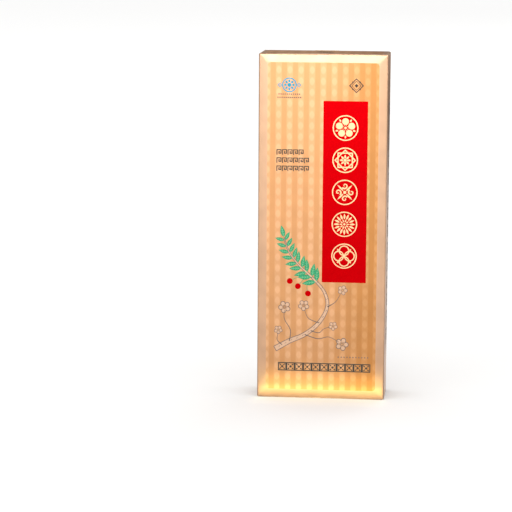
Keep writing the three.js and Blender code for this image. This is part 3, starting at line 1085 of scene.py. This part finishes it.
def beside(path, widths, side):
    """One outline of a bough: the path, moved half its width to one side."""
    moved_path = []
    for i, point in enumerate(path):
        ahead = path[min(i + 1, len(path) - 1)] - path[max(i - 1, 0)]
        moved_path.append(point + Vector((-ahead.y, ahead.x)).normalized() * side * widths[i] / 2)
    return moved_path


def tapered(points, first_width, loss):
    """A twig that grows thinner along its smooth path."""
    twig = through(points)
    return "line", twig, [first_width - loss * i / (len(twig) - 1) for i in range(len(twig))]


def at_blossoms(name, motif):
    return joined(name, *[moved(motif, x, y, 0, radius, turn=x) for x, y, radius in BLOSSOMS])


banks = [beside(bough_path, bough_widths, side) for side in (1, -1)]
outlines = [("line", bank, 0.6) for bank in banks + [[bank[0] for bank in banks]]]
outlines += [tapered(twig, 0.9, 0.5) for twig in TWIGS]
scars = [(point + Vector((-0.6, -0.5)), point + Vector((0.9, 1.0))) for point in bough_path[3:50:3]]
outlines += [("line", ends, 0.35) for ends in scars]
blossom = joined(
    "blossom", on_ring(5, ("line", arc((0.62, 0), 0.36, -128, 128, 10), 0.1), turn=BLOSSOM_TURN),
    on_ring(10, ("line", [(0.12, 0), (0.42, 0)], 0.07)),
)
petals = on_ring(5, ("patch", circle(0.34, (0.62, 0), 16)), turn=BLOSSOM_TURN, high=INK / 2)
wash = drawn("wash", [("line", bough_path, bough_widths)], high=INK / 3)
print_on("bough_wash", wash, grey_wash)
print_on("petals", at_blossoms("petals", petals), grey_wash)
print_on("bough", joined("bough", drawn("outlines", outlines), at_blossoms("blossoms", blossom)), grey_ink)
print("bough", len(bough_path), "points")

# %% Print the leaves and the berries
LEAF_LENGTH = 12.5
LEAVES = {
    "From": 0.64, "Until": 0.98, "Count": 9, "Angle": 0.9, "Spread": 0.12,
    "First_size": 1.15, "Last_size": 0.8, "Seed": 4,
}


def stalk(points):
    """A path of loose edges, for a tree to grow leaves on."""
    mesh = bpy.data.meshes.new("stalk")
    mesh.from_pydata([(*point, 0) for point in points], [(i, i + 1) for i in range(len(points) - 1)], [])
    return mesh


leaf = drawn("leaf", [("patch", lens((0.6, 0), (LEAF_LENGTH, 0), 4.6))])
veins = [("line", [(1.0, 0), (LEAF_LENGTH - 1.5, 0)], 0.3)]
veins += [("line", [(x, 0), (x + 1.4, side * 1.3)], 0.22) for x in (3.0, 5.2, 7.4) for side in (1, -1)]
leaf_veins = drawn("leaf_veins", veins, INK + SKIM, 1.5 * INK)
for motif, name, ink in ((leaf, "leaves", green_ink), (leaf_veins, "leaf_veins", pale_green_ink)):
    grown = set_out(name, paired, Motif=motif, Bough=stalk(bough_path), **LEAVES)
    print_on(name, joined(name, grown, moved(motif, *BOUGH[-1], turn=1.8)), ink)

stems = drawn("stems", [("line", through(stem), 0.4) for stem in BERRY_STEMS])
print_on("berry_stems", stems, green_ink)
berries = drawn("berries", [("patch", circle(BERRY, stem[-1])) for stem in BERRY_STEMS], high=INK * 2)
print_on("berries", berries, red_ink)

# %% [markdown]
# ## The narrow sides and the top
#
# A broad band of key fret runs up the middle of each narrow side, and the lid has one small ornament.

# %% Print the sides and the lid
SIDE_FRET = 15.0
SIDE_PITCH = 17.2
SIDE_FOOT = 52.0
EDGE_LINE_X = 11
EDGE_LINE_ENDS = (44, 298)
side_band = in_row(14, fret(SIDE_FRET, 1.7), (-SIDE_FRET * 0.4, SIDE_FOOT), (0, SIDE_PITCH))
edge_paths = [[(x, y) for y in EDGE_LINE_ENDS] for x in (-EDGE_LINE_X, EDGE_LINE_X)]
edge_lines = drawn("edge_lines", [("line", path, 0.6) for path in edge_paths])
print_on("fret_band", joined("side_prints", side_band, edge_lines), dark_ink, NARROW_FACES)
print_on("lozenge", moved(lozenge, 0, 0, 0, 1.3), dark_ink, {"lid": TOP}, body="lid")
print("side band", len(side_band.polygons), "faces")

# %% [markdown]
# ## The paper seals
#
# A round gold paper seal, embossed with rings and petals, is stuck over each closed end at the back, and one
# over the lid of each pack. A seal is a fold of two half discs. The relief is a formula of the radius and the
# angle, on a fan of narrow quads, and Solidify makes it paper. Two rings and six petals are printed on it.

# %% Emboss half a seal
SEAL_RADIUS = 12.0
PACK_SEAL_RADIUS = 11.5
PAPER = 0.05
SEAL_RINGS = 16
CENTRE_SHARE = 0.15
PETALS = 12
RELIEF = 0.045
RING_SHARES = (0.78, 0.92)
RING_REACH = 0.022
PETAL_SHARE = 0.48
PETAL_REACH = 0.16
CENTRE_REACH = 0.12
TO_BACK = (0, 1, 0)
DOWN = (0, 0, -1)


def hump(share, middle, reach):
    """1 at the middle, and less the farther a point is from it."""
    return math.exp(-((share - middle) / reach) ** 2)


def seal_relief(share, angle):
    """The height of the seal's face: two raised rings round a flower, and a raised centre."""
    rings = sum(hump(share, at, RING_REACH) for at in RING_SHARES)
    petals = hump(share, PETAL_SHARE, PETAL_REACH) * abs(math.cos(angle * PETALS / 2))
    return RELIEF * min(1.0, rings + petals + hump(share, 0, CENTRE_REACH))


def half_seal(radius, steps):
    """Half a disc on the -Y side of its centre, its face towards +Z."""
    bm = bmesh.new()
    rows = []
    for i in range(SEAL_RINGS + 1):
        share = (i + CENTRE_SHARE) / (SEAL_RINGS + CENTRE_SHARE)
        points = []
        for j in range(steps + 1):
            angle = -math.pi * j / steps
            level = PAPER + seal_relief(share, angle)
            points.append((radius * share * math.cos(angle), radius * share * math.sin(angle), level))
        rows.append([bm.verts.new(point) for point in points])
    for inner, outer in zip(rows, rows[1:]):
        for j in range(steps):
            bm.faces.new((inner[j], inner[j + 1], outer[j + 1], outer[j])).smooth = True
    bm.faces.new(rows[0][::-1])
    bmesh.ops.recalc_face_normals(bm, faces=bm.faces)
    if sum(face.normal.z for face in bm.faces) < 0:
        bmesh.ops.reverse_faces(bm, faces=bm.faces)
    return plain_mesh("half_seal", bm)


def seal_print(radius):
    """The print on half a seal: two rings and the petals between them and the centre."""
    shapes = [("line", arc((0, 0), share * radius, -178, -2, 40), 0.4) for share in RING_SHARES]
    for k in range(PETALS // 2):
        angle = -2 * math.pi * (k + 0.5) / PETALS
        heading = Vector((math.cos(angle), math.sin(angle))) * radius
        shapes.append(("patch", lens(heading * 0.3, heading * 0.68, radius * 0.17)))
    return drawn("seal_print", shapes, PAPER + RELIEF - SKIM, PAPER + RELIEF + SKIM)


# %% Stick the seals on
def add_seal(name, node_name, body, *places):
    halves = [joined("half", half_seal(SEAL_RADIUS, 48), place=place) for place in places]
    made = new_object(name, joined(name, *halves, material=seal_foil))
    give_thickness(made, PAPER)
    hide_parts(node_name)
    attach(made, body)
    for number, place in enumerate(places):
        print_on("print_" + str(number + 1), seal_print(SEAL_RADIUS), bronze_ink, {name: place}, body)


on_lid = placed((0, 24.0, HEIGHT), TO_BACK, UP)
on_back = placed((0, DEPTH / 2, HEIGHT - 0.1), UP, TO_BACK)
under_base = (placed((0, DEPTH / 2, 0.1), TO_BACK, DOWN), placed((0, DEPTH / 2, 0), DOWN, TO_BACK))
add_seal("seal_on_lid", "seal_half_on_lid", "lid", on_lid)
add_seal("seal_on_back", "seal_half_on_back", "carton", on_back)
add_seal("seal_on_base", "seal_under_base", "carton", *under_base)

# %% [markdown]
# ## The ten packs
#
# Inside lie ten small packs of orange gold board, each a box of folded walls with a lid that is tucked in,
# a red label on its front and a fret band on its narrow sides. One pack is drawn, standing, and ten copies
# are laid where the model has them. The wall is the same closed stroke that draws a print, only taller.

# %% Draw one pack
PACK_HALF = (30.0, 11.75, 53.0)
PACK_BOARD = 0.5
PACK_FOLD = 0.8
PACK_SLIT = 0.3
PACK_TUCK = 12
PACK_TUCK_INSET = 2
PACK_LABEL = (1, 38, 20, 94)


def combined(name, *parts):
    """One mesh from (mesh, material, matrix) parts that keeps each part's finish."""
    bm = bmesh.new()
    finishes = []
    for mesh, material, place in parts:
        if material not in finishes:
            finishes.append(material)
        copy = joined("part", mesh, place=place)
        for face in copy.polygons:
            face.material_index = finishes.index(material)
        bm.from_mesh(copy)
    made = plain_mesh(name, bm)
    for material in finishes:
        made.materials.append(material)
    return made


def pack_walls():
    half_x, half_y, half_z = PACK_HALF
    bm = bmesh.new()
    middle = rounded_box(half_x - PACK_BOARD / 2, half_y - PACK_BOARD / 2, PACK_FOLD - PACK_BOARD / 2)
    add_stroke(bm, middle, PACK_BOARD, -half_z, half_z, closed=True)
    inner = rounded_box(half_x - PACK_BOARD, half_y - PACK_BOARD, PACK_FOLD - PACK_BOARD)
    add_plate(bm, inner, -half_z, -half_z + PACK_BOARD)
    front = -half_y + PACK_BOARD + PACK_SLIT
    side = half_x - PACK_BOARD - PACK_SLIT
    add_plate(bm, box_outline(-side, front, side, half_y - PACK_BOARD), half_z - PACK_BOARD, half_z)
    tuck_side = half_x - PACK_TUCK_INSET
    tuck = box_outline(-tuck_side, front, tuck_side, front + PACK_BOARD)
    add_plate(bm, tuck, half_z - PACK_TUCK, half_z - PACK_BOARD / 2)
    bmesh.ops.recalc_face_normals(bm, faces=bm.faces)
    return plain_mesh("pack_walls", bm)


# %% Put one pack together
pack_faces = [laid((0, side * PACK_HALF[1], -PACK_HALF[2]), UP, (0, side, 0)) for side in (-1, 1)]
pack_sides = [laid((side * PACK_HALF[0], 0, -PACK_HALF[2]), UP, (side, 0, 0)) for side in (1, -1)]
top_edge = (0, -PACK_HALF[1], PACK_HALF[2])
seal_places = (laid(top_edge, (0, -1, 0), UP), laid(top_edge, UP, (0, -1, 0)))

small_flower = on_ring(6, ("patch", lens((1.0, 0), (3.6, 0), 1.9, steps=4)))
small_bough = through([(-24, 14), (-12, 18), (-4, 28), (-10, 40), (-18, 52)], 5)
small_leaf = drawn("small_leaf", [("patch", lens((0.2, 0), (5.4, 0), 2.2, steps=4))])
small_stalk = stalk([(-6, 33), (-10, 40), (-14, 46), (-18, 53)])
small_tile = drawn("small_tile", [("loop", circle(1.9, steps=4), 0.5), ("patch", circle(0.7, steps=4))])
face_prints = [
    (drawn("pack_label", [("patch", box_outline(*PACK_LABEL))]), red_ink),
    (in_row(5, small_flower, (10.5, 45.0), (0, 10.4), ON_LABEL), pale_gold_ink),
    (drawn("small_bough", [("line", small_bough, 0.5)]), grey_ink),
    (set_out("small_leaves", paired, Motif=small_leaf, Bough=small_stalk, Count=5), green_ink),
    (in_row(12, small_tile, (-20.9, 8.0), (3.8, 0)), dark_ink),
]
side_prints = [(in_row(8, fret(8.0, 1.0), (-3.6, 16.5), (0, 9.3)), dark_ink)]
seal_parts = [(half_seal(PACK_SEAL_RADIUS, 24), seal_foil), (seal_print(PACK_SEAL_RADIUS), bronze_ink)]
parts = [(pack_walls(), orange_gold, Matrix())]
for prints, places in ((face_prints, pack_faces), (side_prints, pack_sides), (seal_parts, seal_places)):
    parts += [(mesh, finish, place) for mesh, finish in prints for place in places]
pack = combined("pack", *parts)
print("one pack", len(pack.polygons), "faces")

# %% [markdown]
# ## The slices of dried root
#
# Each pack holds a few rows of thin oval slices, laid like roof tiles. A grid of points carries one slice
# each, with a small random turn and size, so that no two lie quite alike.

# %% Lay the slices
slices_tree, given, result = new_group(
    "slices_like_tiles", "GeometryNodeTree",
    [MOTIF, ("Columns", COUNT, 3), ("Rows", COUNT, 4), ("Width", FLOAT, 35.0), ("Length", FLOAT, 69.0),
     ("Tilt", FLOAT, 0.087), ("Spread", FLOAT, 0.1), ("Seed", COUNT, 7), MATERIAL],
    GEOMETRY,
)
grid_sockets = {"Size X": "Width", "Size Y": "Length", "Vertices X": "Columns", "Vertices Y": "Rows"}
grid = node(slices_tree, "GeometryNodeMeshGrid", {there: given[here] for there, here in grid_sockets.items()})
turn_by = wobble(slices_tree, given)
lean = direction_of(slices_tree, X=given["Tilt"], Z=turn_by)
size_by = sums(slices_tree, "SUBTRACT", 1.0, sums(slices_tree, "ABSOLUTE", turn_by))
tiled = copies_on(slices_tree, grid.outputs[0], given["Motif"], Rotation=lean, Scale=size_by)
ending(slices_tree, given, result, tiled)

# %% Draw one slice
SLICE_HALF = (10.6, 14.4)
SLICE_THICKNESS = 2.0
PILE_Y = 8.65
RIM_STEPS = 28
WAVES = 5
WAVER = 0.03
rim_points = []
for step in range(RIM_STEPS):
    angle = 2 * math.pi * step / RIM_STEPS
    waver = 1 + WAVER * math.sin(WAVES * angle)
    rim_points.append((SLICE_HALF[0] * waver * math.cos(angle), SLICE_HALF[1] * waver * math.sin(angle)))
slice_mesh = drawn("slice", [("patch", rim_points)], -SLICE_THICKNESS / 2, SLICE_THICKNESS / 2)
print("one slice", len(slice_mesh.polygons), "faces")

# %% Put the packs and slices in place
pack_names = sorted(name[:-len("_box")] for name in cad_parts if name.endswith("_box"))
for number, name in enumerate(pack_names):
    low, high = (Vector(corner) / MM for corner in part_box(name + "_box"))
    facing = 1 if number % 2 == 0 else -1
    turned = Matrix(((0, 0, -facing), (0, facing, 0), (1, 0, 0))).transposed().to_4x4()
    place = Matrix.Scale(MM, 4) @ Matrix.Translation((low + high) / 2) @ turned
    box_piece = new_object(name, pack.copy())
    box_piece.data.transform(place)
    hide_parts(name + "_box", name + "_seal")
    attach(box_piece, "carton")
    pile = set_out("pile", slices_tree, Motif=slice_mesh, Seed=number + 1)
    pile_name = name + "_pile"
    pile_place = place @ laid((0, PILE_Y, 0), UP, (0, 1, 0))
    pile_piece = new_object(pile_name, joined(pile_name, pile, material=dried_root, place=pile_place))
    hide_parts(name + "_slices")
    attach(pile_piece, "carton")
print("packs", len(pack_names))

# %% [markdown]
# ## The studio
#
# Gold film shows what is round it more than it shows light on it, so the studio is built for its reflections.
# A wide pale floor fills the lower half of every view. A soft white sky lights it evenly. What the film
# mirrors of it grows darker low down behind the carton, so that the top is set off from the front, while the
# camera itself sees it white all round. A low strip lamp is mirrored only by the tilted upper border. Two
# small warm strips stand on the floor just in front of the carton, and its foot mirrors them: the nearer one
# in the lower border, the farther one as the soft glow above it. A fill lamp lights the back, and a weak key
# lamp the front.

# %% Lay the floor
FLOOR_RADIUS = 14.0
FLOOR_COLOUR = (0.9, 0.9, 0.895, 1)
floor_paint, tree, shader, place = new_material("floor_paint")
for socket, value in (("Base Color", FLOOR_COLOUR), ("Roughness", 0.9), ("Specular IOR Level", 0.2)):
    feed(tree, shader[socket], value)
bm = bmesh.new()
bmesh.ops.create_circle(bm, cap_ends=True, segments=96, radius=FLOOR_RADIUS)
floor = new_object("studio_floor", plain_mesh("studio_floor", bm), floor_paint)
print("floor radius", FLOOR_RADIUS, "m")

# %% Light the sky
SKY_STRENGTH = 1.15
WHITE = (1, 1, 1, 1)
DIM_SKY = rgb(54, 36, 28)
world = bpy.data.worlds.new("world")
world.use_nodes = True
tree = world.node_tree
generated = node(tree, "ShaderNodeTexCoord").outputs["Generated"]
direction = node(tree, "ShaderNodeSeparateXYZ", {0: generated}).outputs
behind = ramp(tree, direction["Y"], 0.2, 0.9)
low_down = ramp(tree, direction["Z"], 0.6, 0.18)
seen = node(tree, "ShaderNodeLightPath").outputs["Is Camera Ray"]
mirrored = sums(tree, "MULTIPLY", sums(tree, "MULTIPLY", behind, low_down), sums(tree, "SUBTRACT", 1.0, seen))
background = tree.nodes["Background"].inputs
feed(tree, background["Color"], blend_colours(tree, mirrored, WHITE, DIM_SKY))
feed(tree, background["Strength"], SKY_STRENGTH)
bpy.context.scene.world = world
print("sky strength", SKY_STRENGTH)

# %% Hang the lamps
WARM = (1, 0.95, 0.36)


def softbox(name, place, target, size, power, colour=(1, 1, 1), spread=180):
    """A rectangular lamp in metres and watts that faces a target and that the camera doesn't see."""
    light = bpy.data.lights.new(name, "AREA")
    light.shape = "RECTANGLE"
    light.size, light.size_y = size
    light.energy = power
    light.color = colour
    light.spread = math.radians(spread)
    made = bpy.data.objects.new(name, light)
    made.location = place
    made.rotation_euler = (Vector(target) - Vector(place)).to_track_quat("-Z", "Y").to_euler()
    made.visible_camera = False
    bpy.context.collection.objects.link(made)


softbox("border_strip", (-0.19, -2.6, 0.53), (0, 0, 0.33), (0.55, 0.16), 14.5)
softbox("foot_strip", (0, -0.037, 0.005), (0, -0.025, 0.005), (0.126, 0.009), 0.0027, WARM, spread=100)
softbox("foot_glow", (0, -0.059, 0.008), (0, -0.025, 0.01), (0.13, 0.014), 0.0044, WARM, spread=100)
softbox("back_fill", (2.2, 5.2, 3.5), (0, 0, 0.15), (2.5, 2.5), 34)
softbox("key", (-1.4, -1.8, 2.2), (0, 0, 0.15), (1.2, 1.2), 4)
bpy.context.scene.view_settings.view_transform = "Standard"
print("lamps", len(bpy.data.lights))
